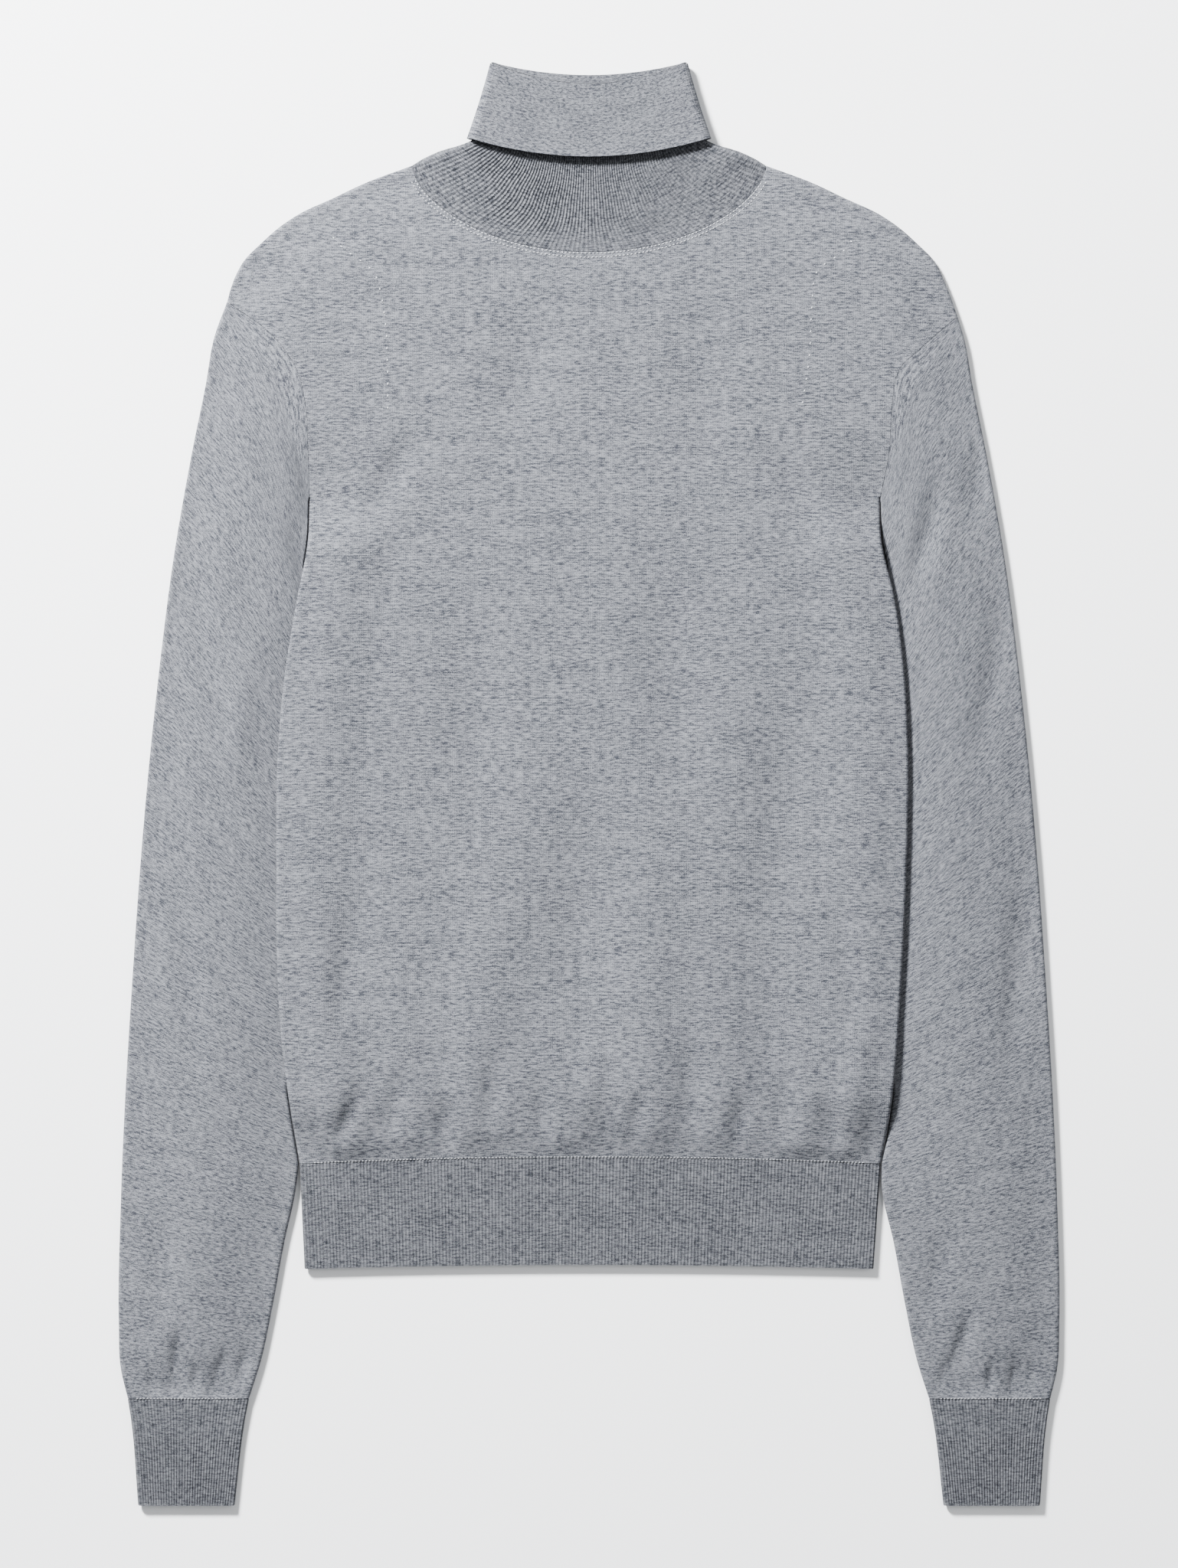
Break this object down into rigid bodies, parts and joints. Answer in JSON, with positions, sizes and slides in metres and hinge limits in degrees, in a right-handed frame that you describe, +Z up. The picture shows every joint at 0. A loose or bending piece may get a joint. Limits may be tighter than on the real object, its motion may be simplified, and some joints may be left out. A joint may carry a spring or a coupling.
{
  "type": "turtleneck sweater",
  "caption": "Fine-knit turtleneck sweater laid flat on its back, with a folded ribbed collar, long sleeves, ribbed cuffs and a ribbed waistband.",
  "frame": {"origin": "centre of the garment's outline, on the surface that it lies on", "axes": "+Z up off the surface, +Y from the waistband towards the neck, +X towards the wearer's left"},
  "size_m": [0.5772, 0.8854, 0.0129],
  "materials": {
    "jersey": "matte heather knit",
    "rib": "matte heather rib knit"
  },
  "bodies": {
    "root": {"front": "jersey", "back": "jersey", "sleeve_left": "jersey", "sleeve_right": "jersey", "collar": "rib", "waistband": "rib", "cuff_left": "rib", "cuff_right": "rib"}
  },
  "joints": []
}
